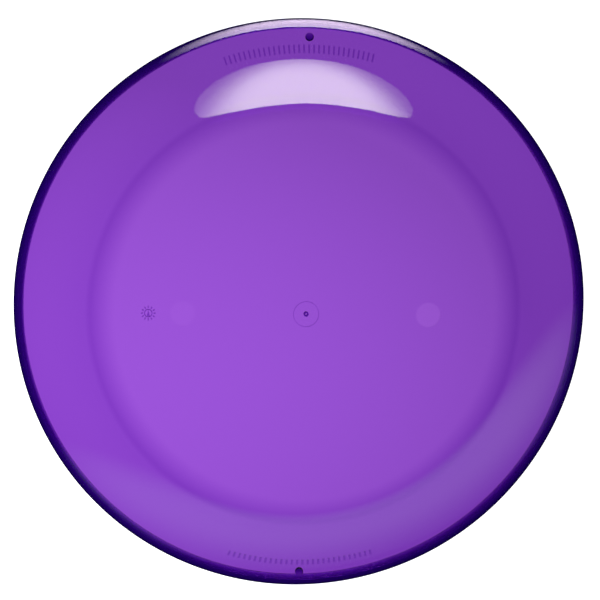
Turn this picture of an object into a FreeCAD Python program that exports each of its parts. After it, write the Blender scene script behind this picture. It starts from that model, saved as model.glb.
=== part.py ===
import FreeCAD, Part
import math
import os

import Sketcher

# One-piece flying disc of clear tinted plastic, lying top face up, in millimetres.
# Origin: centre of the circle on which the rim stands. +Z is the spin axis, +Y points to one of
# the two lugs under the rim, +X is to the right with the top face towards the eye.

doc = FreeCAD.newDocument("flying_disc")
sheet = doc.addObject("Spreadsheet::Sheet", "sheet")

DIMENSIONS = {
    # outer surface
    "outer_radius": 117.5,
    "overall_height": 20.0,
    "plate_radius": 77.0,
    "bend_radius": 50.0,
    "bend_slope": 14.0,
    "shoulder_radius": 110.0,
    "corner_radius": 7.0,
    # underside: flat plate, bead ring, shoulder, rim wall, and the foot that turns in from it
    "plate_thickness": 1.5,
    "under_plate_radius": 76.0,
    "bead_crest_radius": 85.8,
    "bead_crest_height": 17.38,
    "bead_bend_radius": 43.8,
    "bead_foot_radius": 88.0,
    "bead_foot_height": 17.05,
    "under_shoulder_radius": 106.0,
    "rim_root_radius": 115.3,
    "rim_root_height": 6.48,
    "lip_wall_radius": 115.9,
    "lip_wall_height": 2.6,
    "lip_inner_radius": 113.5,
    "lip_edge_height": 0.5,
    "rim_root_fillet": 6.0,
    "lip_wall_fillet": 1.2,
    "lip_edge_fillet": 0.2,
    "lip_outer_fillet": 2.4,
    # two lugs under the shoulder
    "lug_circle_radius": 109.6,
    "lug_radius": 1.65,
    "lug_tip_height": 8.0,
    "lug_length": 2.3,
    "lug_tip_fillet": 0.4,
    # gate mark at the centre of the underside
    "gate_ring_radius": 5.2,
    "gate_ring_width": 0.25,
    "gate_ring_depth": 0.25,
    "gate_stub_radius": 1.0,
    "gate_stub_depth": 1.2,
    "gate_stub_bore_radius": 0.4,
    # ejector pin marks and date dial, on a line across the underside
    "pin_mark_distance": 49.4,
    "pin_mark_radius": 5.0,
    "right_pin_mark_depth": 0.1,
    "left_pin_mark_depth": 0.04,
    "dial_distance": 63.0,
    "dial_radius": 2.9,
    "dial_tick_length": 0.8,
    "dial_tick_width": 0.35,
    "dial_tick_count": 12,
    "dial_ring_radius": 1.65,
    "dial_ring_width": 0.3,
    "dial_arrow_length": 2.1,
    "dial_arrow_width": 1.1,
    "dial_relief": 0.6,
    # two rows of plain raised marks under the shoulder, next to the lugs
    "mark_row_inner": 103.2,
    "mark_row_outer": 106.6,
    "mark_row_turn": 2.3,
    "fine_row_inner": 103.8,
    "fine_row_outer": 106.0,
    "mark_row_sweep": 32.4,
    "mark_relief": 0.38,
    "fine_mark_relief": 0.3,
    "mark_sink": 0.5,
    "mark_turn": 0.34,
    "mark_count": 31,
    "fine_mark_turn": 0.46,
    "fine_mark_count": 28,
}

for row, (name, value) in enumerate(DIMENSIONS.items(), start=1):
    sheet.set(f"A{row}", name)
    sheet.set(f"B{row}", str(value))
    sheet.setAlias(f"B{row}", name)
doc.recompute()

# Sketcher's names for a sketch's own origin and axes, and for the ends of a line or arc.
ROOT, H_AXIS, V_AXIS = -1, -1, -2
START, END, CENTRE = 1, 2, 3

disc = doc.addObject("PartDesign::Body", "disc")
disc.Label = "disc"


def origin_plane(role):
    """The body's own origin plane with that role, such as XY_Plane."""
    return next(f for f in disc.Origin.OriginFeatures if f.Role == role)


def new_sketch(name, role="XY_Plane", offsets=None, turn=None):
    """A sketch on one of the body's origin planes. offsets: axis letter to expression. turn: the
    expression of its angle about the plane's Y direction, in degrees."""
    sketch = disc.newObject("Sketcher::SketchObject", name)
    sketch.AttachmentSupport = [(origin_plane(role), "")]
    sketch.MapMode = "FlatFace"
    for axis, expression in (offsets or {}).items():
        sketch.setExpression(f"AttachmentOffset.Base.{axis}", expression)
    if turn:
        sketch.AttachmentOffset = FreeCAD.Placement(FreeCAD.Vector(), FreeCAD.Vector(0, 1, 0), 1)
        sketch.setExpression("AttachmentOffset.Rotation.Angle", turn)
    return sketch


def bind(sketch, kind, places, name, expression, guess):
    """One dimension of a sketch, named and driven by an expression of the sheet's cells."""
    index = sketch.addConstraint(Sketcher.Constraint(kind, *places, guess))
    sketch.renameConstraint(index, name)
    sketch.setExpression(f"Constraints.{name}", expression)


def add_line(sketch, start, end):
    """A straight line between two (x, y) points."""
    return sketch.addGeometry(Part.LineSegment(FreeCAD.Vector(*start), FreeCAD.Vector(*end)))


def add_arc(sketch, centre, one, other):
    """The short, upper arc about a centre between two (x, y) points, counter-clockwise."""
    angles = sorted(math.atan2(y - centre[1], x - centre[0]) for x, y in (one, other))
    circle = Part.Circle(FreeCAD.Vector(*centre), FreeCAD.Vector(0, 0, 1), math.dist(centre, one))
    return sketch.addGeometry(Part.ArcOfCircle(circle, *angles))


def add_circle(sketch, name, radius, guess):
    """A circle about the sketch's origin."""
    circle = sketch.addGeometry(Part.Circle(FreeCAD.Vector(), FreeCAD.Vector(0, 0, 1), guess))
    sketch.addConstraint(Sketcher.Constraint("Coincident", circle, CENTRE, ROOT, START))
    bind(sketch, "Radius", (circle,), name, radius, guess)
    return circle


def pad(name, sketch, length, downwards=False):
    """Adds the sketch's area, as thick as the expression length says."""
    feature = disc.newObject("PartDesign::Pad", name)
    feature.Profile = sketch
    feature.Reversed = downwards
    feature.setExpression("Length", length)
    doc.recompute()
    return feature


def pocket(name, sketch, length):
    """Cuts the sketch's area upwards, as deep as the expression length says."""
    feature = disc.newObject("PartDesign::Pocket", name)
    feature.Profile = sketch
    feature.Reversed = True
    feature.setExpression("Length", length)
    doc.recompute()
    return feature


def edges_where(wanted):
    """The names of the disc's circular edges for which wanted(radius, height) is true."""
    names = []
    for number, edge in enumerate(disc.Shape.Edges, start=1):
        if isinstance(edge.Curve, Part.Circle) and wanted(edge.Curve.Radius, edge.Curve.Center.z):
            names.append(f"Edge{number}")
    return names


def fillet(name, wanted, radius):
    """Rounds the circular edges for which wanted(radius, height) is true."""
    solid, edges = disc.Tip, edges_where(wanted)
    feature = disc.newObject("PartDesign::Fillet", name)
    feature.Base = (solid, edges)
    feature.setExpression("Radius", radius)
    doc.recompute()
    return feature


def near(value, target):
    return abs(value - target) < 0.02


def size(name):
    """The value of one of the sheet's cells, for first guesses and for finding edges."""
    return DIMENSIONS[name]


def centre_below(one, other, radius):
    """The centre, on the lower side, of the arc of that radius between two (x, y) points."""
    chord = math.dist(one, other)
    left, right = sorted((one, other))
    rise = math.sqrt(radius**2 - chord**2 / 4)
    x = (left[0] + right[0]) / 2 + rise * (right[1] - left[1]) / chord
    y = (left[1] + right[1]) / 2 - rise * (right[0] - left[0]) / chord
    return (x, y)


def disc_section():
    """Half of the disc's section, in X and Z. The outer surface is the flat plate, then three
    tangent arcs (bend, shoulder, corner) down to the upright rim wall."""
    sketch = new_sketch("disc_section", "XZ_Plane")
    rise = math.radians(size("bend_slope"))
    top = size("overall_height")
    flat_end = (size("plate_radius"), top)
    bend_end = (
        flat_end[0] + size("bend_radius") * math.sin(rise),
        top - size("bend_radius") * (1 - math.cos(rise)),
    )
    spread = size("shoulder_radius") - size("corner_radius")
    corner_x = size("outer_radius") - size("corner_radius")
    sine = (corner_x - bend_end[0] + size("shoulder_radius") * math.sin(rise)) / spread
    fall = math.asin(sine)
    shoulder_centre = (
        bend_end[0] - size("shoulder_radius") * math.sin(rise),
        bend_end[1] - size("shoulder_radius") * math.cos(rise),
    )
    corner_centre = (corner_x, shoulder_centre[1] + spread * math.cos(fall))

    bend_centre = (flat_end[0], top - size("bend_radius"))
    shoulder_end = (
        corner_centre[0] + size("corner_radius") * math.sin(fall),
        corner_centre[1] + size("corner_radius") * math.cos(fall),
    )
    wall_top = (size("outer_radius"), corner_centre[1])
    under_top = top - size("plate_thickness")
    under_flat_end = (size("under_plate_radius"), under_top)
    crest = (size("bead_crest_radius"), size("bead_crest_height"))
    foot = (size("bead_foot_radius"), size("bead_foot_height"))
    root = (size("rim_root_radius"), size("rim_root_height"))
    lip_wall = (size("lip_wall_radius"), size("lip_wall_height"))
    lip_edge = (size("lip_inner_radius"), size("lip_edge_height"))
    lip_inner = (size("lip_inner_radius"), 0)
    lip_outer = (size("outer_radius"), 0)

    plate = add_line(sketch, (0, top), flat_end)
    bend = add_arc(sketch, bend_centre, flat_end, bend_end)
    shoulder = add_arc(sketch, shoulder_centre, bend_end, shoulder_end)
    corner = add_arc(sketch, corner_centre, shoulder_end, wall_top)
    wall = add_line(sketch, wall_top, lip_outer)
    lip = add_line(sketch, lip_outer, lip_inner)
    edge = add_line(sketch, lip_inner, lip_edge)
    slope = add_line(sketch, lip_edge, lip_wall)
    rim = add_line(sketch, lip_wall, root)
    under_centre = centre_below(root, foot, size("under_shoulder_radius"))
    under_shoulder = add_arc(sketch, under_centre, root, foot)
    terrace = add_line(sketch, foot, crest)
    under_bend_centre = (under_flat_end[0], under_top - size("bead_bend_radius"))
    under_bend = add_arc(sketch, under_bend_centre, crest, under_flat_end)
    under_plate = add_line(sketch, under_flat_end, (0, under_top))
    axis = add_line(sketch, (0, under_top), (0, top))

    def arc_end(arc, point):
        """Which end of an arc, which Sketcher keeps counter-clockwise, lies at point."""
        first = sketch.Geometry[arc].StartPoint
        return START if math.hypot(first.x - point[0], first.y - point[1]) < 0.01 else END

    def join(kind, one, one_end, other, other_end):
        sketch.addConstraint(Sketcher.Constraint(kind, one, one_end, other, other_end))

    join("Tangent", plate, END, bend, arc_end(bend, flat_end))
    join("Tangent", bend, arc_end(bend, bend_end), shoulder, arc_end(shoulder, bend_end))
    join("Tangent", shoulder, arc_end(shoulder, shoulder_end), corner, arc_end(corner, shoulder_end))
    join("Tangent", corner, arc_end(corner, wall_top), wall, START)
    join("Coincident", wall, END, lip, START)
    join("Coincident", lip, END, edge, START)
    join("Coincident", edge, END, slope, START)
    join("Coincident", slope, END, rim, START)
    join("Coincident", rim, END, under_shoulder, arc_end(under_shoulder, root))
    join("Coincident", under_shoulder, arc_end(under_shoulder, foot), terrace, START)
    join("Coincident", terrace, END, under_bend, arc_end(under_bend, crest))
    join("Tangent", under_bend, arc_end(under_bend, under_flat_end), under_plate, START)
    join("Coincident", under_plate, END, axis, START)
    join("Coincident", axis, END, plate, START)
    for flat in (plate, lip, under_plate):
        sketch.addConstraint(Sketcher.Constraint("Horizontal", flat))
    for upright in (wall, edge, axis):
        sketch.addConstraint(Sketcher.Constraint("Vertical", upright))
    sketch.addConstraint(Sketcher.Constraint("PointOnObject", axis, START, V_AXIS))
    sketch.addConstraint(Sketcher.Constraint("PointOnObject", lip, START, H_AXIS))

    def place(name, geometry, end, x, y, guess):
        """Holds a point at an X, a Z or both, each given as an expression or None."""
        if x:
            bind(sketch, "DistanceX", (ROOT, START, geometry, end), f"{name}_x", x, guess[0])
        if y:
            bind(sketch, "DistanceY", (ROOT, START, geometry, end), f"{name}_z", y, guess[1])

    place("flat_end", plate, END, "sheet.plate_radius", "sheet.overall_height", flat_end)
    bend_reach = "sheet.plate_radius + sheet.bend_radius * sin(sheet.bend_slope * 1deg)"
    place("bend_end", bend, arc_end(bend, bend_end), bend_reach, None, bend_end)
    place("lip_outer", wall, END, "sheet.outer_radius", None, lip_outer)
    place("lip_inner", lip, END, "sheet.lip_inner_radius", None, lip_inner)
    place("lip_edge", edge, END, None, "sheet.lip_edge_height", lip_edge)
    place("lip_wall", slope, END, "sheet.lip_wall_radius", "sheet.lip_wall_height", lip_wall)
    place("root", rim, END, "sheet.rim_root_radius", "sheet.rim_root_height", root)
    place("foot", terrace, START, "sheet.bead_foot_radius", "sheet.bead_foot_height", foot)
    place("crest", terrace, END, "sheet.bead_crest_radius", None, crest)
    under_height = "sheet.overall_height - sheet.plate_thickness"
    place("under_flat", under_plate, START, "sheet.under_plate_radius", under_height, under_flat_end)
    for arc, name in (
        (bend, "bend_radius"),
        (shoulder, "shoulder_radius"),
        (corner, "corner_radius"),
        (under_shoulder, "under_shoulder_radius"),
        (under_bend, "bead_bend_radius"),
    ):
        bind(sketch, "Radius", (arc,), name, f"sheet.{name}", size(name))
    return sketch


def build_shell():
    """The plate, shoulder, rim and lip, turned about the spin axis, with the corners rounded."""
    section = disc_section()
    shell = disc.newObject("PartDesign::Revolution", "shell")
    shell.Profile = section
    shell.ReferenceAxis = (section, ["V_Axis"])
    shell.Angle = 360
    doc.recompute()

    def at(radius_name, height):
        return lambda radius, level: near(radius, size(radius_name)) and near(level, height)

    def is_lip_edge(radius, level):
        return near(radius, size("lip_inner_radius")) and level < size("lip_edge_height") + 0.02

    fillet("rim_root_round", at("rim_root_radius", size("rim_root_height")), "sheet.rim_root_fillet")
    fillet("lip_wall_round", at("lip_wall_radius", size("lip_wall_height")), "sheet.lip_wall_fillet")
    fillet("lip_edge_round", is_lip_edge, "sheet.lip_edge_fillet")
    fillet("lip_outer_round", at("outer_radius", 0), "sheet.lip_outer_fillet")


def build_lugs():
    """Two short pins under the shoulder, opposite each other on the Y axis, with rounded tips."""
    sketch = new_sketch("lug_sketch", offsets={"z": "sheet.lug_tip_height"})
    reach = size("lug_circle_radius")
    for side, name in ((1, "front"), (-1, "back")):
        centre = FreeCAD.Vector(0, side * reach)
        lug = sketch.addGeometry(Part.Circle(centre, FreeCAD.Vector(0, 0, 1), size("lug_radius")))
        sketch.addConstraint(Sketcher.Constraint("PointOnObject", lug, CENTRE, V_AXIS))
        bind(sketch, "Radius", (lug,), f"{name}_radius", "sheet.lug_radius", size("lug_radius"))
        ends = (ROOT, START, lug, CENTRE) if side > 0 else (lug, CENTRE, ROOT, START)
        bind(sketch, "DistanceY", ends, f"{name}_reach", "sheet.lug_circle_radius", reach)
    pad("lugs", sketch, "sheet.lug_length")

    def is_tip(radius, level):
        return near(radius, size("lug_radius")) and near(level, size("lug_tip_height"))

    fillet("lug_tip_round", is_tip, "sheet.lug_tip_fillet")


UNDER_PLATE = "sheet.overall_height - sheet.plate_thickness"


def build_gate_mark():
    """A thin raised ring round the centre of the underside and the stub left by the gate."""
    ring_sketch = new_sketch("gate_ring_sketch", offsets={"z": UNDER_PLATE})
    outer, width = size("gate_ring_radius"), size("gate_ring_width")
    add_circle(ring_sketch, "outer", "sheet.gate_ring_radius", outer)
    add_circle(ring_sketch, "inner", "sheet.gate_ring_radius - sheet.gate_ring_width", outer - width)
    pad("gate_ring", ring_sketch, "sheet.gate_ring_depth", downwards=True)
    stub_sketch = new_sketch("gate_stub_sketch", offsets={"z": UNDER_PLATE})
    add_circle(stub_sketch, "gate_stub_radius", "sheet.gate_stub_radius", size("gate_stub_radius"))
    bore = "sheet.gate_stub_bore_radius"
    add_circle(stub_sketch, "gate_stub_bore", bore, size("gate_stub_bore_radius"))
    pad("gate_stub", stub_sketch, "sheet.gate_stub_depth", downwards=True)


def build_pin_marks():
    """The two shallow round hollows that the ejector pins leave, right and left of the gate."""
    for name, direction in (("right", ""), ("left", "-")):
        offsets = {"x": f"{direction}sheet.pin_mark_distance", "z": UNDER_PLATE}
        sketch = new_sketch(f"{name}_pin_mark_sketch", offsets=offsets)
        add_circle(sketch, "pin_mark_radius", "sheet.pin_mark_radius", size("pin_mark_radius"))
        pocket(f"{name}_pin_mark", sketch, f"sheet.{name}_pin_mark_depth")


def add_polygon(sketch, points):
    """A closed outline of straight lines. Each corner is a pair of (expression, value) pairs."""
    corners = [(x[1], y[1]) for x, y in points]
    lines = [add_line(sketch, a, b) for a, b in zip(corners, corners[1:] + corners[:1])]
    for number, line in enumerate(lines):
        following = lines[(number + 1) % len(lines)]
        sketch.addConstraint(Sketcher.Constraint("Coincident", line, END, following, START))
        x, y = points[number]
        for letter, (expression, value) in (("X", x), ("Y", y)):
            kind = f"Distance{letter}"
            ends = (ROOT, START, line, START)
            if value < 0:
                ends = (line, START, ROOT, START)
                expression, value = f"-({expression})", -value
            if abs(value) < 1e-9:
                axis = V_AXIS if letter == "X" else H_AXIS
                sketch.addConstraint(Sketcher.Constraint("PointOnObject", line, START, axis))
            else:
                bind(sketch, kind, ends, f"corner_{number}_{letter.lower()}", expression, value)


def circle_pattern(name, feature, axis, angle, count):
    """Copies a feature round an axis. count is a cell of the sheet."""
    pattern = disc.newObject("PartDesign::PolarPattern", name)
    pattern.Originals = [feature]
    pattern.Axis = axis
    pattern.setExpression("Angle", angle)
    pattern.setExpression("Occurrences", count)
    disc.Tip = pattern
    doc.recompute()
    return pattern


def build_date_dial():
    """A moulded date dial with no figures: a ring of ticks, an inner ring and a plain arrow."""
    offsets = {"x": "-sheet.dial_distance", "z": UNDER_PLATE}
    outer = size("dial_radius")
    inner = outer - size("dial_tick_length")
    half = size("dial_tick_width") / 2
    inner_x = ("sheet.dial_radius - sheet.dial_tick_length", inner)
    outer_x = ("sheet.dial_radius", outer)
    low = ("-sheet.dial_tick_width / 2", -half)
    high = ("sheet.dial_tick_width / 2", half)
    tick_sketch = new_sketch("dial_tick_sketch", offsets=offsets)
    add_polygon(tick_sketch, [(inner_x, low), (outer_x, low), (outer_x, high), (inner_x, high)])
    tick = pad("dial_tick", tick_sketch, "sheet.dial_relief", downwards=True)
    circle_pattern("dial_ticks", tick, (tick_sketch, ["N_Axis"]), "360", "sheet.dial_tick_count")

    ring_sketch = new_sketch("dial_ring_sketch", offsets=offsets)
    add_circle(ring_sketch, "outer", "sheet.dial_ring_radius", size("dial_ring_radius"))
    ring_inner = "sheet.dial_ring_radius - sheet.dial_ring_width"
    add_circle(ring_sketch, "inner", ring_inner, size("dial_ring_radius") - size("dial_ring_width"))
    pad("dial_ring", ring_sketch, "sheet.dial_relief", downwards=True)

    length, width = size("dial_arrow_length"), size("dial_arrow_width")
    arrow_sketch = new_sketch("dial_arrow_sketch", offsets=offsets)
    tip = (("0", 0), ("sheet.dial_arrow_length / 2", length / 2))
    left = (("-sheet.dial_arrow_width / 2", -width / 2), ("-sheet.dial_arrow_length / 2", -length / 2))
    right = (("sheet.dial_arrow_width / 2", width / 2), ("-sheet.dial_arrow_length / 2", -length / 2))
    add_polygon(arrow_sketch, [left, right, tip])
    pad("dial_arrow", arrow_sketch, "sheet.dial_relief", downwards=True)


def under_shoulder_height(radius):
    """The height of the shoulder's underside at a radius."""
    root = (size("rim_root_radius"), size("rim_root_height"))
    foot = (size("bead_foot_radius"), size("bead_foot_height"))
    arc = size("under_shoulder_radius")
    centre = centre_below(root, foot, arc)
    return centre[1] + math.sqrt(arc**2 - (radius - centre[0]) ** 2)


def build_mark_row(name, inner, outer, relief, start, turn, count):
    """A row of short raised bars under the shoulder, each turned through a small angle and the row
    through mark_row_sweep. start is the expression of the first bar's angle about Z, the other
    arguments are cells of the sheet."""
    sketch = new_sketch(f"{name}_sketch", "XZ_Plane", turn=start)
    heights = [under_shoulder_height(size(cell)) for cell in (inner, outer)]
    corners = []
    for cell, height, shift, value in (
        (inner, heights[0], f"- sheet.{relief}", -size(relief)),
        (outer, heights[1], f"- sheet.{relief}", -size(relief)),
        (outer, heights[1], "+ sheet.mark_sink", size("mark_sink")),
        (inner, heights[0], "+ sheet.mark_sink", size("mark_sink")),
    ):
        corners.append(((f"sheet.{cell}", size(cell)), (f"{height:.3f} {shift}", height + value)))
    add_polygon(sketch, corners)
    bar = disc.newObject("PartDesign::Revolution", f"{name}_bar")
    bar.Profile = sketch
    bar.ReferenceAxis = (sketch, ["V_Axis"])
    bar.Midplane = True
    bar.setExpression("Angle", f"sheet.{turn}")
    doc.recompute()
    circle_pattern(name, bar, (sketch, ["V_Axis"]), "sheet.mark_row_sweep", f"sheet.{count}")


build_shell()
build_lugs()
build_gate_mark()
build_pin_marks()
build_date_dial()
build_mark_row(
    "mark_row",
    "mark_row_inner",
    "mark_row_outer",
    "mark_relief",
    "90 + sheet.mark_row_turn - sheet.mark_row_sweep / 2",
    "mark_turn",
    "mark_count",
)
build_mark_row(
    "fine_mark_row",
    "fine_row_inner",
    "fine_row_outer",
    "fine_mark_relief",
    "270 - sheet.mark_row_sweep / 2",
    "fine_mark_turn",
    "fine_mark_count",
)
doc.recompute()

for item in doc.Objects:
    if "Invalid" in item.State or "Error" in item.State:
        raise RuntimeError(f"{item.Name} failed: {item.State}")
if disc.Shape.isNull() or not disc.Shape.isValid():
    raise RuntimeError("the disc's shape is not valid")
if len(disc.Shape.Solids) != 1:
    raise RuntimeError(f"the disc has {len(disc.Shape.Solids)} solids")

os.makedirs("parts", exist_ok=True)
disc.Shape.exportStep(f"parts/{disc.Label}.step")
box = disc.Shape.optimalBoundingBox()
print(f"disc {box.XLength:.2f} x {box.YLength:.2f} x {box.ZLength:.2f} mm, {disc.Shape.Volume:.0f} mm3")
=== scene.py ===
import math

import bmesh
import bpy
from mathutils import Matrix, Vector
from mathutils.geometry import delaunay_2d_cdt


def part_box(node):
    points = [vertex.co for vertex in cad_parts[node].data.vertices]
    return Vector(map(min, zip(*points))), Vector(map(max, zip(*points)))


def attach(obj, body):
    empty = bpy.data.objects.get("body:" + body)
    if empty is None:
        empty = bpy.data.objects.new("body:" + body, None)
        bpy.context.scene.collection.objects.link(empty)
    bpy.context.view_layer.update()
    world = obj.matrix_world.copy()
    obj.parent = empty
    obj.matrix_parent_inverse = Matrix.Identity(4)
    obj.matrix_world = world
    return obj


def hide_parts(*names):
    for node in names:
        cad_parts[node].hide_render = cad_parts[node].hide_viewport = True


# A one-piece flying disc of clear purple plastic. The CAD disc gives its place and size, and the
# mesh below is the same moulding with a fine, smooth skin, which refraction needs.

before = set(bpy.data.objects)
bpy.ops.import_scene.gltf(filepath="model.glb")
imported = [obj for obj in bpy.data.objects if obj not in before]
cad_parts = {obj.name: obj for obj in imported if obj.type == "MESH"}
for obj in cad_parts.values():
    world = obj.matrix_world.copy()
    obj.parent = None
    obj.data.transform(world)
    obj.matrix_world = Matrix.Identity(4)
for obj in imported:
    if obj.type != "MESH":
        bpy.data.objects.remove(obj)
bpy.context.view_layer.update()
low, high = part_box("disc")

# ---------------------------------------------------------------------------------------------
# Sizes, in millimetres. Z is height above the rim's rest plane.
# ---------------------------------------------------------------------------------------------

MM = 0.001
OUTER_RADIUS = (high.x - low.x) / 2 / MM
HEIGHT = (high.z - low.z) / MM

# Outer surface: flat plate, then three tangent arcs down to the upright rim wall.
PLATE_RADIUS = 77.0
BEND_RADIUS = 50.0
BEND_SLOPE = math.radians(14.0)
SHOULDER_RADIUS = 110.0
CORNER_RADIUS = 7.0
LIP_OUTER_FILLET = 2.4

# Underside: flat plate, bead ring, shoulder, rim wall, and the foot that turns in from the wall.
PLATE_THICKNESS = 1.5
UNDER_PLATE_RADIUS = 76.0
UNDER_BEND_RADIUS = 43.8
CREST_RADIUS = 85.8
FOOT = (88.0, 17.05)
UNDER_SHOULDER_RADIUS = 106.0
RIM_ROOT = (115.3, 6.48)
RIM_ROOT_FILLET = 6.0
LIP_WALL = (115.9, 2.6)
LIP_WALL_FILLET = 1.2
LIP_EDGE = (113.5, 0.5)
LIP_EDGE_FILLET = 0.2

# The two lugs under the shoulder.
LUG_CIRCLE_RADIUS = 109.6
LUG_RADIUS = 1.65
LUG_TIP_HEIGHT = 8.0
LUG_TIP_FILLET = 0.4

# Marks of the mould on the underside. A level is how far a mark stands out, downwards. The rings
# are given by their outer and inner radii, the ticks by their length and width, and the arrow by
# its width and length.
GATE_RING = (5.2, 4.95)
GATE_RING_LEVEL = 0.25
GATE_STUB_RADIUS = 1.0
GATE_STUB_LEVEL = 1.2
GATE_STUB_BORE_RADIUS = 0.4
PIN_MARK_DISTANCE = 49.4
PIN_MARK_RADIUS = 5.0
RIGHT_PIN_MARK_LEVEL = -0.1
LEFT_PIN_MARK_LEVEL = -0.04
DIAL_DISTANCE = 63.0
DIAL_RADIUS = 2.9
DIAL_TICK = (0.8, 0.35)
DIAL_TICK_COUNT = 12
DIAL_RING = (1.65, 1.35)
DIAL_ARROW = (1.1, 2.1)
DIAL_LEVEL = 0.6

# Two rows of plain raised bars under the shoulder, between an inner and an outer radius. In
# degrees, middle is where a row's middle lies round Z, turn is how wide each bar is, and ROW_SWEEP
# is the angle from the first bar to the last.
ROW_SWEEP = 32.4
COARSE_ROW = {
    "inner": 103.2,
    "outer": 106.6,
    "middle": 92.3,
    "turn": 0.34,
    "count": 31,
    "level": 0.38,
}
FINE_ROW = {
    "inner": 103.8,
    "outer": 106.0,
    "middle": 270.0,
    "turn": 0.46,
    "count": 28,
    "level": 0.3,
}

# Mesh fineness: the number of steps round Z, the angle from which an edge is shaded sharp, and the
# number of steps along each arc of the section, between its patches and round each circle.
SEGMENTS = 480
SHARP_ANGLE = math.radians(18.0)
BEND_STEPS = 16
SHOULDER_STEPS = 24
CORNER_STEPS = 28
LIP_OUTER_STEPS = 10
LIP_INNER_STEPS = 6
LIP_EDGE_STEPS = 4
LIP_WALL_STEPS = 8
ROOT_STEPS = 24
LUG_PATCH_STEPS = 4
ROW_PATCH_STEPS = 5
FOOT_STEPS = 16
CREST_STEPS = 3
UNDER_BEND_STEPS = 14
TIP_STEPS = 5
LUG_STEPS = 40
GATE_RING_STEPS = 96
GATE_STUB_STEPS = 36
GATE_STUB_BORE_STEPS = 24
PIN_MARK_STEPS = 72
DIAL_RING_STEPS = 40
OVAL_STEPS = 96

# The patches of the mesh round the bars lie between these radii, and those round the lugs reach
# this many degrees to both sides.
ROW_PATCH = (102.6, 107.1)
LUG_PATCH_TURN = 2.25


# ---------------------------------------------------------------------------------------------
# The disc's section, as (radius, height) points
# ---------------------------------------------------------------------------------------------


def arc_points(centre, radius, start, end, steps):
    """Points along an arc, after its start and up to its end. Angles are in radians."""
    points = []
    for step in range(1, steps + 1):
        angle = start + (end - start) * step / steps
        points.append((centre[0] + radius * math.cos(angle), centre[1] + radius * math.sin(angle)))
    return points


def centre_below(left, right, radius):
    """The centre, on the lower side, of the arc of that radius from one point to another."""
    chord = math.dist(left, right)
    rise = math.sqrt(radius**2 - chord**2 / 4)
    x = (left[0] + right[0]) / 2 + rise * (right[1] - left[1]) / chord
    y = (left[1] + right[1]) / 2 - rise * (right[0] - left[0]) / chord
    return (x, y)


def outer_section():
    """From the edge of the flat plate, over the shoulder, down to the lip's flat."""
    quarter = math.pi / 2
    bend_centre = (PLATE_RADIUS, HEIGHT - BEND_RADIUS)
    reach = SHOULDER_RADIUS - BEND_RADIUS
    shoulder_centre = (
        bend_centre[0] - reach * math.sin(BEND_SLOPE),
        bend_centre[1] - reach * math.cos(BEND_SLOPE),
    )
    corner_x = OUTER_RADIUS - CORNER_RADIUS
    spread = SHOULDER_RADIUS - CORNER_RADIUS
    fall = math.asin((corner_x - shoulder_centre[0]) / spread)
    corner_centre = (corner_x, shoulder_centre[1] + spread * math.cos(fall))
    lip_centre = (OUTER_RADIUS - LIP_OUTER_FILLET, LIP_OUTER_FILLET)
    points = [(PLATE_RADIUS, HEIGHT)]
    points += arc_points(bend_centre, BEND_RADIUS, quarter, quarter - BEND_SLOPE, BEND_STEPS)
    slopes = (quarter - BEND_SLOPE, quarter - fall)
    points += arc_points(shoulder_centre, SHOULDER_RADIUS, *slopes, SHOULDER_STEPS)
    points += arc_points(corner_centre, CORNER_RADIUS, quarter - fall, 0, CORNER_STEPS)
    points.append((OUTER_RADIUS, LIP_OUTER_FILLET))
    points += arc_points(lip_centre, LIP_OUTER_FILLET, 0, -quarter, LIP_OUTER_STEPS)
    return points


def rounded_corner(before, corner, after, radius, steps):
    """Points along the round that replaces a corner between two straight runs."""
    before, corner, after = Vector(before), Vector(corner), Vector(after)
    back = (before - corner).normalized()
    ahead = (after - corner).normalized()
    half = back.angle(ahead) / 2
    start = corner + back * radius / math.tan(half)
    end = corner + ahead * radius / math.tan(half)
    centre = corner + (back + ahead).normalized() * radius / math.sin(half)
    points = []
    for step in range(steps + 1):
        spoke = (start - centre).slerp(end - centre, step / steps)
        points.append(tuple(centre + spoke * radius))
    return points


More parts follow.
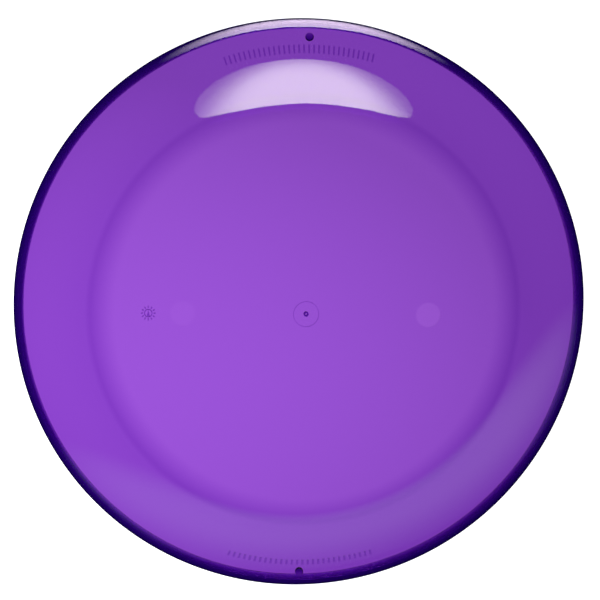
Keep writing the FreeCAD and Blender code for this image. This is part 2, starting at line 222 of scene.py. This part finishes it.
class Underside:
    """The section under the disc: where its arcs meet, and its height at any radius."""

    def __init__(self):
        self.shoulder_centre = centre_below(FOOT, RIM_ROOT, UNDER_SHOULDER_RADIUS)
        self.plate_height = HEIGHT - PLATE_THICKNESS
        self.bend_centre = (UNDER_PLATE_RADIUS, self.plate_height - UNDER_BEND_RADIUS)
        crest_height = self.circle_height(self.bend_centre, UNDER_BEND_RADIUS, CREST_RADIUS)
        self.crest = (CREST_RADIUS, crest_height)
        self.wall_run = (Vector(RIM_ROOT) - Vector(LIP_WALL)).normalized()
        self.wall_normal = Vector((self.wall_run.y, -self.wall_run.x))
        self.root_centre = self.round_centre_at_root()
        outward = (self.root_centre - Vector(self.shoulder_centre)).normalized()
        self.root_start = self.root_centre + self.wall_normal * RIM_ROOT_FILLET
        self.root_end = self.root_centre + outward * RIM_ROOT_FILLET

    @staticmethod
    def circle_height(centre, radius, x):
        """The height of a circle's upper half at x."""
        return centre[1] + math.sqrt(radius**2 - (x - centre[0]) ** 2)

    def round_centre_at_root(self):
        """The centre of the hollow round between the rim's inner wall and the shoulder's arc."""
        foot_of_wall = Vector(LIP_WALL)
        start = foot_of_wall - self.wall_normal * RIM_ROOT_FILLET - Vector(self.shoulder_centre)
        reach = UNDER_SHOULDER_RADIUS - RIM_ROOT_FILLET
        half = start.dot(self.wall_run)
        along = -half + math.sqrt(half**2 - start.length_squared + reach**2)
        return foot_of_wall + self.wall_run * along - self.wall_normal * RIM_ROOT_FILLET

    def height(self, radius):
        """The underside's height at a radius, from the centre to the rim's inner wall."""
        if radius <= UNDER_PLATE_RADIUS:
            return self.plate_height
        if radius <= CREST_RADIUS:
            return self.circle_height(self.bend_centre, UNDER_BEND_RADIUS, radius)
        if radius <= FOOT[0]:
            share = (radius - CREST_RADIUS) / (FOOT[0] - CREST_RADIUS)
            return self.crest[1] + share * (FOOT[1] - self.crest[1])
        if radius <= self.root_end.x:
            return self.circle_height(self.shoulder_centre, UNDER_SHOULDER_RADIUS, radius)
        return self.circle_height(self.root_centre, RIM_ROOT_FILLET, radius)

    def section(self):
        """From the lip's flat, over its foot, up the rim's inner wall and inwards to the plate."""
        below_edge = (LIP_EDGE[0], 0.0)
        outside = (OUTER_RADIUS - LIP_OUTER_FILLET, 0.0)
        points = rounded_corner(outside, below_edge, LIP_EDGE, LIP_EDGE_FILLET, LIP_INNER_STEPS)
        points += rounded_corner(below_edge, LIP_EDGE, LIP_WALL, LIP_EDGE_FILLET, LIP_EDGE_STEPS)
        points += rounded_corner(LIP_EDGE, LIP_WALL, RIM_ROOT, LIP_WALL_FILLET, LIP_WALL_STEPS)
        points.append(tuple(self.root_start))
        wall_angle = math.atan2(self.wall_normal.y, self.wall_normal.x)
        outward = self.root_end - self.root_centre
        shoulder_angle = math.atan2(outward.y, outward.x)
        angles = (wall_angle, shoulder_angle)
        points += arc_points(self.root_centre, RIM_ROOT_FILLET, *angles, ROOT_STEPS)
        points += [(radius, self.height(radius)) for radius in self.stations()]
        return points

    def stations(self):
        """Radii at which the underside is cut into rings, from the rim's wall inwards."""
        inner, outer = ROW_PATCH
        for first, last, steps in (
            (self.root_end.x, outer, LUG_PATCH_STEPS),
            (outer, inner, ROW_PATCH_STEPS),
            (inner, FOOT[0], FOOT_STEPS),
            (FOOT[0], CREST_RADIUS, CREST_STEPS),
            (CREST_RADIUS, UNDER_PLATE_RADIUS, UNDER_BEND_STEPS),
        ):
            for step in range(1, steps + 1):
                yield first + (last - first) * step / steps


under = Underside()


# ---------------------------------------------------------------------------------------------
# Mesh: rings turned about Z, with patches for what isn't round about Z
# ---------------------------------------------------------------------------------------------


class Loop:
    """A closed outline on the underside. level is how far its inside stands out, or None to leave
    its inside open, and around is the level outside it."""

    def __init__(self, points, level, around=0.0):
        self.points = points
        self.level = level
        self.around = around

    def holds(self, x, y):
        """Whether the point lies inside the outline."""
        inside = False
        for (x1, y1), (x2, y2) in zip(self.points, self.points[1:] + self.points[:1]):
            if (y1 > y) != (y2 > y) and x < (x2 - x1) * (y - y1) / (y2 - y1) + x1:
                inside = not inside
        return inside


def circle(centre, radius, count):
    """A circle as an outline of count points."""
    return [
        (
            centre[0] + radius * math.cos(2 * math.pi * step / count),
            centre[1] + radius * math.sin(2 * math.pi * step / count),
        )
        for step in range(count)
    ]


def turned(points, angle, centre=(0.0, 0.0)):
    """Points turned about the origin and then moved by centre."""
    cosine, sine = math.cos(angle), math.sin(angle)
    return [(centre[0] + x * cosine - y * sine, centre[1] + x * sine + y * cosine) for x, y in points]


def add_ring(bm, radius, height):
    """A ring of vertices about Z."""
    return [
        bm.verts.new(Vector((radius * math.cos(angle), radius * math.sin(angle), height)) * MM)
        for angle in (2 * math.pi * step / SEGMENTS for step in range(SEGMENTS))
    ]


def on_underside(bm, x, y, level):
    """A vertex that stands out of the underside, downwards, by level."""
    return bm.verts.new(Vector((x, y, under.height(math.hypot(x, y)) - level)) * MM)


def fill_patch(bm, border, loops):
    """Fills the area inside border, a closed row of vertices, with triangles that follow the
    underside, and raises or sinks what lies inside each loop. Returns each loop's vertices."""
    outline = [(vert.co.x / MM, vert.co.y / MM) for vert in border]
    flat = [Vector(point) for point in outline]
    edges = [(i, (i + 1) % len(outline)) for i in range(len(outline))]
    spans = []
    for loop in loops:
        first = len(flat)
        count = len(loop.points)
        flat += [Vector(point) for point in loop.points]
        edges += [(first + i, first + (i + 1) % count) for i in range(count)]
        spans.append((first, count))
    inside_only, tolerance = 1, 1e-6
    result = delaunay_2d_cdt(flat, edges, [], inside_only, tolerance)
    triangles, sources = result[2], result[3]
    origin = [group[0] for group in sources]
    known = {(i, 0.0): vert for i, vert in enumerate(border)}

    def vertex(index, level):
        if (index, level) not in known:
            known[index, level] = on_underside(bm, flat[index].x, flat[index].y, level)
        return known[index, level]

    for triangle in triangles:
        corners = [origin[i] for i in triangle]
        x, y = (sum(flat[i][axis] for i in corners) / 3 for axis in (0, 1))
        level = 0.0
        for loop in loops:
            if loop.holds(x, y):
                level = loop.level
        if level is not None:
            bm.faces.new([vertex(i, level) for i in corners])
    rims = []
    for loop, (first, count) in zip(loops, spans):
        around = [vertex(first + i, loop.around) for i in range(count)]
        rims.append(around)
        if loop.level is None:
            continue
        inside = [vertex(first + i, loop.level) for i in range(count)]
        for i in range(count):
            j = (i + 1) % count
            bm.faces.new((around[i], around[j], inside[j], inside[i]))
    return rims


def dial_loops():
    """The date dial: a ring of ticks, an inner ring and a plain arrow, with no figures."""
    centre = (-DIAL_DISTANCE, 0.0)
    length, width = DIAL_TICK
    inner, outer, half = DIAL_RADIUS - length, DIAL_RADIUS, width / 2
    tick = [(inner, -half), (outer, -half), (outer, half), (inner, half)]
    loops = []
    for number in range(DIAL_TICK_COUNT):
        angle = 2 * math.pi * number / DIAL_TICK_COUNT
        loops.append(Loop(turned(tick, angle, centre), DIAL_LEVEL))
    outer, inner = DIAL_RING
    loops.append(Loop(circle(centre, outer, DIAL_RING_STEPS), DIAL_LEVEL))
    loops.append(Loop(circle(centre, inner, DIAL_RING_STEPS), 0.0, DIAL_LEVEL))
    width, length = DIAL_ARROW
    arrow = [(-width / 2, -length / 2), (width / 2, -length / 2), (0.0, length / 2)]
    loops.append(Loop(turned(arrow, 0.0, centre), DIAL_LEVEL))
    return loops


def plate_loops():
    """What stands out of the flat underside of the plate, or is sunk into it."""
    middle = (0.0, 0.0)
    outer, inner = GATE_RING
    bore = circle(middle, GATE_STUB_BORE_RADIUS, GATE_STUB_BORE_STEPS)
    loops = [
        Loop(circle(middle, outer, GATE_RING_STEPS), GATE_RING_LEVEL),
        Loop(circle(middle, inner, GATE_RING_STEPS), 0.0, GATE_RING_LEVEL),
        Loop(circle(middle, GATE_STUB_RADIUS, GATE_STUB_STEPS), GATE_STUB_LEVEL),
        Loop(bore, 0.0, GATE_STUB_LEVEL),
    ]
    for side, level in ((1, RIGHT_PIN_MARK_LEVEL), (-1, LEFT_PIN_MARK_LEVEL)):
        mark = circle((side * PIN_MARK_DISTANCE, 0.0), PIN_MARK_RADIUS, PIN_MARK_STEPS)
        loops.append(Loop(mark, level))
    return loops + dial_loops()


def row_loops(row):
    """One row of short raised bars."""
    half = math.radians(row["turn"] / 2)
    inner, outer = row["inner"], row["outer"]
    middle = (inner + outer) / 2
    corners = [(radius, -half) for radius in (inner, middle, outer)]
    corners += [(radius, half) for radius in (outer, middle, inner)]
    bar = [(radius * math.cos(angle), radius * math.sin(angle)) for radius, angle in corners]
    loops = []
    for number in range(row["count"]):
        turn = row["middle"] - ROW_SWEEP / 2 + ROW_SWEEP * number / (row["count"] - 1)
        loops.append(Loop(turned(bar, math.radians(turn)), row["level"]))
    return loops


def window(rings, first_ring, last_ring, first_turn, last_turn):
    """The border of a stretch of the underside, and the cells that the rings leave out for it."""
    start = round(first_turn / 360 * SEGMENTS)
    end = round(last_turn / 360 * SEGMENTS)
    border = [rings[first_ring][i] for i in range(start, end)]
    border += [rings[ring][end] for ring in range(first_ring, last_ring)]
    border += [rings[last_ring][i] for i in range(end, start, -1)]
    border += [rings[ring][start] for ring in range(last_ring, first_ring, -1)]
    cells = {(ring, i) for ring in range(first_ring, last_ring) for i in range(start, end)}
    return border, cells


def add_lug(bm, root, side):
    """A pin that hangs from the ring of vertices where it meets the shoulder."""
    centre = Vector((0.0, side * LUG_CIRCLE_RADIUS))
    sections = [(LUG_RADIUS, LUG_TIP_HEIGHT + 2 * LUG_TIP_FILLET)]
    sections.append((LUG_RADIUS, LUG_TIP_HEIGHT + LUG_TIP_FILLET))
    round_centre = (LUG_RADIUS - LUG_TIP_FILLET, LUG_TIP_HEIGHT + LUG_TIP_FILLET)
    sections += arc_points(round_centre, LUG_TIP_FILLET, 0, -math.pi / 2, TIP_STEPS)
    above = root
    for radius, height in sections:
        below = []
        for x, y in circle(centre, radius, len(root)):
            below.append(bm.verts.new(Vector((x, y, height)) * MM))
        join_rings(bm, above, below)
        above = below
    bm.faces.new(above)


def join_rings(bm, one, other, left_out=()):
    """Quads between two rings of vertices, but for the ones whose numbers are left out."""
    count = len(one)
    for i in range(count):
        if i not in left_out:
            j = (i + 1) % count
            bm.faces.new((one[i], one[j], other[j], other[i]))


def row_window(rings, first_ring, last_ring, row):
    """The border and the cells of the patch round one row of bars."""
    step = 360 / SEGMENTS
    half = ROW_SWEEP / 2 + step
    first = math.floor((row["middle"] - half) / step) * step
    last = math.ceil((row["middle"] + half) / step) * step
    return window(rings, first_ring, last_ring, first, last)


def close_top(bm, ring):
    """The flat plate, as a fan of triangles inside its ring."""
    middle = bm.verts.new(Vector((0.0, 0.0, HEIGHT)) * MM)
    for i in range(SEGMENTS):
        bm.faces.new((middle, ring[i], ring[(i + 1) % SEGMENTS]))


def finish_mesh(bm):
    """The disc as an object. Its mesh has to be closed."""
    loose = [vert for vert in bm.verts if not vert.link_faces]
    bmesh.ops.delete(bm, geom=loose, context="VERTS")
    bmesh.ops.recalc_face_normals(bm, faces=bm.faces)
    open_edges = sum(1 for edge in bm.edges if len(edge.link_faces) != 2)
    if open_edges:
        raise RuntimeError(f"the disc's mesh has {open_edges} edges that don't join two faces")
    mesh = bpy.data.meshes.new("disc_moulding")
    bm.to_mesh(mesh)
    bm.free()
    mesh.shade_smooth()
    mesh.set_sharp_from_angle(angle=SHARP_ANGLE)
    moulding = bpy.data.objects.new("disc_moulding", mesh)
    bpy.context.scene.collection.objects.link(moulding)
    return moulding


def build_disc():
    """The whole disc as one closed mesh."""
    bm = bmesh.new()
    section = outer_section() + under.section()
    rings = [add_ring(bm, radius, height) for radius, height in section]
    radii = [radius for radius, _ in section]
    lip = len(outer_section())

    def ring_at(radius):
        return min(range(lip, len(radii)), key=lambda i: abs(radii[i] - radius))

    row_start, row_end = ring_at(ROW_PATCH[1]), ring_at(ROW_PATCH[0])
    lug_start = ring_at(under.root_end.x)
    left_out = set()
    patches = []
    for row in (COARSE_ROW, FINE_ROW):
        border, cells = row_window(rings, row_start, row_end, row)
        patches.append((border, row_loops(row), None))
        left_out |= cells
    for side in (1, -1):
        middle = 180 - 90 * side
        sides = (middle - LUG_PATCH_TURN, middle + LUG_PATCH_TURN)
        border, cells = window(rings, lug_start, row_start, *sides)
        root = Loop(circle((0.0, side * LUG_CIRCLE_RADIUS), LUG_RADIUS, LUG_STEPS), None)
        patches.append((border, [root], side))
        left_out |= cells
    for number in range(len(rings) - 1):
        skipped = {i for ring, i in left_out if ring == number}
        join_rings(bm, rings[number], rings[number + 1], skipped)
    for border, loops, side in patches:
        rims = fill_patch(bm, border, loops)
        if side is not None:
            add_lug(bm, rims[0], side)
    fill_patch(bm, rings[-1], plate_loops())
    close_top(bm, rings[0])
    return finish_mesh(bm)


# ---------------------------------------------------------------------------------------------
# Materials
# ---------------------------------------------------------------------------------------------


def new_material(name):
    """A material with an empty node tree."""
    material = bpy.data.materials.new(name)
    material.use_nodes = True
    material.node_tree.nodes.clear()
    return material, material.node_tree


def add_node(tree, kind, inputs=None, **settings):
    """A node with its settings and the values of its sockets, by name or number."""
    node = tree.nodes.new(kind)
    for name, value in settings.items():
        setattr(node, name, value)
    for name, value in (inputs or {}).items():
        node.inputs[name].default_value = value
    return node


# How strongly the tinted plastic takes up red, green and blue light, per metre.
ABSORPTION = (1110.0, 1980.0, 617.0)
ABSORPTION_DENSITY = 2000.0

# The worn band above the table, in metres, and how much roughness its scuffs add.
WORN_HEIGHT = 0.003
WORN_ROUGHNESS = 0.3


def worn_gloss(tree, place):
    """The roughness: glossy, with patches that are a little duller and scuffs near the table."""
    links = tree.links
    scuffs = add_node(tree, "ShaderNodeTexNoise", {"Scale": 900.0, "Detail": 3.0, "Roughness": 0.6})
    patches = add_node(tree, "ShaderNodeTexNoise", {"Scale": 26.0, "Detail": 3.0, "Roughness": 0.55})
    for texture in (scuffs, patches):
        links.new(place.outputs["Object"], texture.inputs["Vector"])
    split = add_node(tree, "ShaderNodeSeparateXYZ")
    links.new(place.outputs["Object"], split.inputs[0])
    near_floor = add_node(
        tree,
        "ShaderNodeMapRange",
        {"From Min": 0.0, "From Max": WORN_HEIGHT, "To Min": 1.0, "To Max": 0.0},
    )
    links.new(split.outputs["Z"], near_floor.inputs["Value"])
    wear = add_node(tree, "ShaderNodeMath", operation="MULTIPLY")
    links.new(near_floor.outputs[0], wear.inputs[0])
    links.new(scuffs.outputs[0], wear.inputs[1])
    gloss = add_node(
        tree,
        "ShaderNodeMapRange",
        {"From Min": 0.35, "From Max": 0.7, "To Min": 0.02, "To Max": 0.05},
    )
    links.new(patches.outputs[0], gloss.inputs["Value"])
    rough = add_node(tree, "ShaderNodeMath", {1: WORN_ROUGHNESS}, operation="MULTIPLY_ADD")
    links.new(wear.outputs[0], rough.inputs[0])
    links.new(gloss.outputs[0], rough.inputs[2])
    return rough


def flow_waves(tree, place):
    """The very faint waves that plastic keeps from flowing into its mould."""
    waves = add_node(tree, "ShaderNodeTexNoise", {"Scale": 34.0, "Detail": 1.0})
    tree.links.new(place.outputs["Object"], waves.inputs["Vector"])
    bump = add_node(tree, "ShaderNodeBump", {"Strength": 0.05, "Distance": 0.0003})
    tree.links.new(waves.outputs[0], bump.inputs["Height"])
    return bump


def tinted_plastic():
    """Clear purple plastic: glossy, with faint flow waves, hairline scuffs and a worn rim."""
    material, tree = new_material("tinted_plastic")
    links = tree.links
    place = add_node(tree, "ShaderNodeTexCoord")
    rough = worn_gloss(tree, place)
    bump = flow_waves(tree, place)
    shader = add_node(
        tree,
        "ShaderNodeBsdfPrincipled",
        {"Base Color": (1.0, 1.0, 1.0, 1.0), "Transmission Weight": 1.0, "IOR": 1.53},
    )
    links.new(rough.outputs[0], shader.inputs["Roughness"])
    links.new(bump.outputs[0], shader.inputs["Normal"])
    tint = [1 - value / ABSORPTION_DENSITY for value in ABSORPTION]
    volume = add_node(
        tree,
        "ShaderNodeVolumeAbsorption",
        {"Color": (*tint, 1.0), "Density": ABSORPTION_DENSITY},
    )
    output = add_node(tree, "ShaderNodeOutputMaterial")
    links.new(shader.outputs[0], output.inputs["Surface"])
    links.new(volume.outputs[0], output.inputs["Volume"])
    return material


# The floor glows brightest near this place, and less with the square of the distance from it,
# which counts for more along Y.
GLOW_CENTRE = (-0.102, -0.037)
GLOW_STRETCH = 1.55
GLOW_MOST = 1.97
GLOW_LEAST = 1.36
GLOW_FALL = 14.5


def pale_floor():
    """A plain white floor that glows like a light table, a little less on the far right."""
    material, tree = new_material("pale_floor")
    links = tree.links
    place = add_node(tree, "ShaderNodeTexCoord")
    centre_x, centre_y = GLOW_CENTRE
    shift = add_node(
        tree,
        "ShaderNodeMapping",
        {"Location": (-centre_x, -centre_y * GLOW_STRETCH, 0.0), "Scale": (1.0, GLOW_STRETCH, 0.0)},
    )
    links.new(place.outputs["Object"], shift.inputs["Vector"])
    square = add_node(tree, "ShaderNodeVectorMath", operation="DOT_PRODUCT")
    for number in (0, 1):
        links.new(shift.outputs[0], square.inputs[number])
    fall = add_node(tree, "ShaderNodeMath", {1: -GLOW_FALL, 2: GLOW_MOST}, operation="MULTIPLY_ADD")
    links.new(square.outputs["Value"], fall.inputs[0])
    level = add_node(tree, "ShaderNodeMath", {1: GLOW_LEAST}, operation="MAXIMUM")
    links.new(fall.outputs[0], level.inputs[0])
    glow = add_node(tree, "ShaderNodeEmission")
    links.new(level.outputs[0], glow.inputs["Strength"])
    output = add_node(tree, "ShaderNodeOutputMaterial")
    links.new(glow.outputs[0], output.inputs["Surface"])
    return material


def soft_panel(name, box):
    """A softbox's cloth. It is brightest at its hot spot and fades smoothly from there."""
    material, tree = new_material(name)
    material.cycles.emission_sampling = box["sampling"]
    links = tree.links
    spot_x, spot_y = box["hot_spot"]
    stretch_x, stretch_y = box["stretch"]
    place = add_node(tree, "ShaderNodeTexCoord")
    shift = add_node(
        tree,
        "ShaderNodeMapping",
        {
            "Location": (-stretch_x * (1 + spot_x), -stretch_y * (1 + spot_y), 0.0),
            "Scale": (2 * stretch_x, 2 * stretch_y, 0.0),
        },
    )
    links.new(place.outputs["UV"], shift.inputs["Vector"])
    fade = add_node(tree, "ShaderNodeTexGradient", gradient_type="SPHERICAL")
    links.new(shift.outputs[0], fade.inputs[0])
    least, most = box["glow"]
    level = add_node(
        tree,
        "ShaderNodeMapRange",
        {"From Min": 0.0, "From Max": box["fade"], "To Min": least, "To Max": most},
        interpolation_type="SMOOTHSTEP",
    )
    links.new(fade.outputs["Fac"], level.inputs["Value"])
    glow = add_node(tree, "ShaderNodeEmission", {"Color": (*box["tint"], 1.0)})
    links.new(level.outputs[0], glow.inputs["Strength"])
    output = add_node(tree, "ShaderNodeOutputMaterial")
    links.new(glow.outputs[0], output.inputs["Surface"])
    return material


# ---------------------------------------------------------------------------------------------
# Stage, lights and camera
# ---------------------------------------------------------------------------------------------


def add_sheet(name, box, material):
    """A flat sheet, oval or rectangular, given by its centre and its two half sides, in metres."""
    centre, across, up = (Vector(box[key]) for key in ("centre", "across", "up"))
    if box["oval"]:
        outline = circle((0, 0), 1, OVAL_STEPS)
    else:
        outline = [(-1, -1), (1, -1), (1, 1), (-1, 1)]
    mesh = bpy.data.meshes.new(name)
    corners = [tuple(centre + across * x + up * y) for x, y in outline]
    mesh.from_pydata(corners, [], [range(len(corners))])
    layer = mesh.uv_layers.new(name="place")
    for corner, (x, y) in zip(layer.data, outline):
        corner.uv = ((x + 1) / 2, (y + 1) / 2)
    mesh.materials.append(material)
    sheet = bpy.data.objects.new(name, mesh)
    bpy.context.scene.collection.objects.link(sheet)
    return sheet


# The floor's sheet lies a hair below the rim.
FLOOR = {"centre": (0, 0, -0.0002), "across": (6.0, 0, 0), "up": (0, 6.0, 0), "oval": False}

# Each panel's hot spot is given in half sides from its centre. The glow falls from its highest to
# its lowest value as the distance from the hot spot, in half sides times stretch, grows from
# 1 - fade to 1. Sampling says whether rays are also aimed at the panel or only find it by chance.

# Above and behind the disc: the crescent on the shoulder.
TOP_BOX = {
    "centre": (0.057, 0.493, 0.7),
    "across": (0.307, 0, 0),
    "up": (0, 0.228, 0),
    "oval": True,
    "hot_spot": (0.0, -0.35),
    "stretch": (1.0, 0.58),
    "fade": 0.6,
    "glow": (1.5, 11.4),
    "tint": (1.0, 0.98, 0.78),
    "sampling": "AUTO",
}

# Low behind the disc, facing it: the long highlight at the top of the rim.
SIDE_BOX = {
    "centre": (0.045, 0.6, -0.085),
    "across": (0.42, 0, 0),
    "up": (0, 0, 0.39),
    "oval": False,
    "hot_spot": (0.0, 0.5),
    "stretch": (1.0, 0.6),
    "fade": 0.78,
    "glow": (0.0, 12.8),
    "tint": (0.94, 0.75, 1.0),
    "sampling": "AUTO",
}

# A tall, dim card in front of the disc: the faint pale veil on the lower shoulder.
FRONT_CARD = {
    "centre": (0.35, -0.81, 1.1),
    "across": (2.1, 0.565, 0),
    "up": (0, 0, 0.77),
    "oval": False,
    "hot_spot": (0.0, -0.26),
    "stretch": (0.95, 1.15),
    "fade": 0.75,
    "glow": (0.0, 0.95),
    "tint": (1.0, 1.0, 0.97),
    "sampling": "NONE",
}

# The surroundings are pale to the light that goes through the disc and dark to its gloss.
WORLD_GLOW = 1.6
STUDIO_GLOW = 0.0


def build_stage():
    """The glowing floor, the panels, which the camera doesn't see, and the surroundings."""
    floor = add_sheet("floor", FLOOR, pale_floor())
    floor.visible_glossy = False
    panels = {"top_softbox": TOP_BOX, "side_softbox": SIDE_BOX, "front_card": FRONT_CARD}
    for name, box in panels.items():
        panel = add_sheet(name, box, soft_panel(name, box))
        panel.visible_camera = False
    world = bpy.data.worlds.new("studio")
    world.use_nodes = True
    tree = world.node_tree
    background = tree.nodes["Background"]
    background.inputs["Color"].default_value = (1.0, 1.0, 1.0, 1.0)
    paths = add_node(tree, "ShaderNodeLightPath")
    level = add_node(tree, "ShaderNodeMapRange", {"To Min": WORLD_GLOW, "To Max": STUDIO_GLOW})
    tree.links.new(paths.outputs["Is Glossy Ray"], level.inputs["Value"])
    tree.links.new(level.outputs[0], background.inputs["Strength"])
    bpy.context.scene.world = world


# The eye is above the top face, a little left of and behind the disc's centre. These are in
# metres, and the lens and the sensor in millimetres.
EYE = Vector((-0.0538, 0.0897, 0.6116))
AIM = Vector((-0.0027, 0.0059, 0.02))
ROLL = math.radians(1.10)
CLIP_START = 0.01
LENS = 90.1
SENSOR_WIDTH = 36.0


def build_camera():
    """The camera, which looks from the eye at the aim, rolled a little about its axis."""
    data = bpy.data.cameras.new("camera")
    data.lens = LENS
    data.sensor_width = SENSOR_WIDTH
    data.clip_start = CLIP_START
    camera = bpy.data.objects.new("camera", data)
    back = (EYE - AIM).normalized()
    right = Vector((0, 1, 0)).cross(back).normalized()
    up = back.cross(right)
    turn = Matrix((right, up, back)).transposed() @ Matrix.Rotation(ROLL, 3, "Z")
    camera.matrix_world = Matrix.Translation(EYE) @ turn.to_4x4()
    bpy.context.scene.collection.objects.link(camera)
    bpy.context.scene.camera = camera


MAX_BOUNCES = 32
GLOSSY_BOUNCES = 16


def set_light_paths():
    """Enough bounces for light to pass the rim, and plain colours."""
    scene = bpy.context.scene
    scene.view_settings.view_transform = "Standard"
    scene.cycles.max_bounces = MAX_BOUNCES
    scene.cycles.transmission_bounces = MAX_BOUNCES
    scene.cycles.glossy_bounces = GLOSSY_BOUNCES
    scene.cycles.use_denoising = True


build_camera()
build_stage()
set_light_paths()

disc = build_disc()
disc.data.materials.append(tinted_plastic())
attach(disc, "root")
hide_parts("disc")
